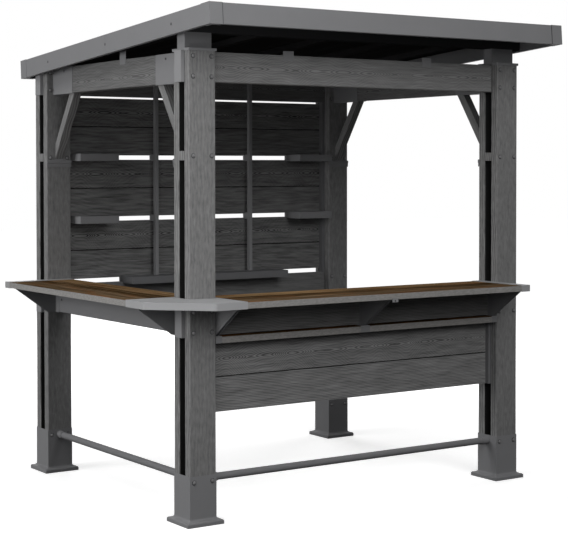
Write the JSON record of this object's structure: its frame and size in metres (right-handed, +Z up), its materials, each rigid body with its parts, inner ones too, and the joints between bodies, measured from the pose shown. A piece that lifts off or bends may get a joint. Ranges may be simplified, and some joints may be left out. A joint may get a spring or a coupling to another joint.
{
  "type": "bar gazebo",
  "caption": "Open-sided bar gazebo with twin-board posts, an L-shaped counter, a slotted back wall with shelves, foot rails and a single-pitch roof.",
  "frame": {"origin": "on the ground, under the middle of the whole outline seen from above", "axes": "+Z up; +X along the front counter, to the right as a guest at the front sees it; +Y from the front counter to the back wall"},
  "size_m": [2.3705, 1.9984, 2.4205],
  "materials": {
    "grained_metal": "matt charcoal with a pressed wood grain",
    "smooth_metal": "smooth satin powder coat",
    "wood_boards": "matt brown striped boards",
    "edging": "light grey with a fine grain",
    "roofing": "matt dark ribbed sheet"
  },
  "bodies": {
    "root": {"front_left_post": "grained_metal", "front_right_post": "grained_metal", "back_left_post": "grained_metal", "back_right_post": "grained_metal", "front_left_base": "smooth_metal", "front_right_base": "smooth_metal", "back_left_base": "smooth_metal", "back_right_base": "smooth_metal", "front_beam": "grained_metal", "back_beam": "grained_metal", "left_beam": "grained_metal", "right_beam": "grained_metal", "front_rail": "grained_metal", "left_rail": "smooth_metal", "back_rail": "grained_metal", "beam_end_caps": "smooth_metal", "beam_hangers": "smooth_metal", "left_braces": "grained_metal", "right_braces": "grained_metal", "brace_ledges": "smooth_metal", "front_counter": "wood_boards", "left_counter": "wood_boards", "counter_edging": "edging", "corner_tray": "smooth_metal", "end_trays": "smooth_metal", "counter_brackets": "smooth_metal", "bottle_opener": "smooth_metal", "front_ledge": "wood_boards", "ledge_metalwork": "smooth_metal", "front_panel": "grained_metal", "back_wall": "grained_metal", "panel_channels": "smooth_metal", "wall_uprights": "smooth_metal", "short_shelves": "smooth_metal", "long_shelf": "smooth_metal", "front_foot_rail": "smooth_metal", "left_foot_rail": "smooth_metal", "post_caps": "smooth_metal", "roof_rails": "smooth_metal", "rafters": "smooth_metal", "roofing": "roofing", "front_back_fascia": "smooth_metal", "side_fascia": "smooth_metal", "fascia_corners": "smooth_metal", "beam_clips": "smooth_metal"}
  },
  "joints": []
}
